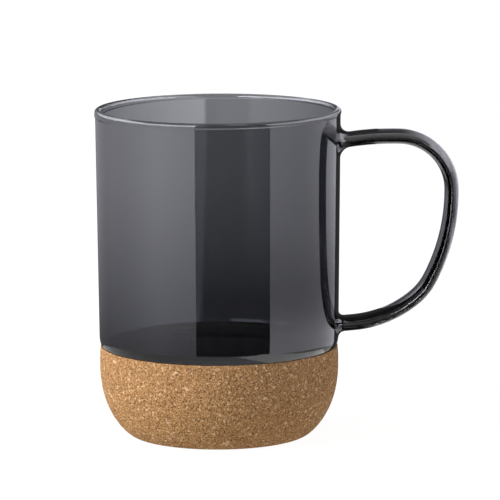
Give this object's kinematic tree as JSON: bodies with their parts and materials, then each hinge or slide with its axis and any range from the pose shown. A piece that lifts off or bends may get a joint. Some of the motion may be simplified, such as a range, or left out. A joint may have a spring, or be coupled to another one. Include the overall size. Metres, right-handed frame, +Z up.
{
  "type": "glass mug",
  "caption": "Tall cylindrical mug of smoked glass with an oval strap handle fused to its side, standing in a thick rounded cork base that pulls off downwards.",
  "frame": {"origin": "centre of the cork base's flat foot, on the table", "axes": "+Z up along the cup's axis, +X towards the handle; the XZ plane is a mirror plane"},
  "size_m": [0.1255, 0.085, 0.1133],
  "materials": {
    "smoked_glass": "clear grey-tinted glass, fire-polished",
    "cork": "matte fine-grained agglomerated cork"
  },
  "bodies": {
    "base": {"cork_base": "cork"},
    "mug": {"glass_cup": "smoked_glass", "handle": "smoked_glass", "upper_handle_weld": "smoked_glass", "lower_handle_weld": "smoked_glass"}
  },
  "joints": [
    {"name": "mug_lift", "type": "slide", "parent": "base", "child": "mug", "axis": [0, 0, 1], "range_m": [0, 0.04]}
  ]
}
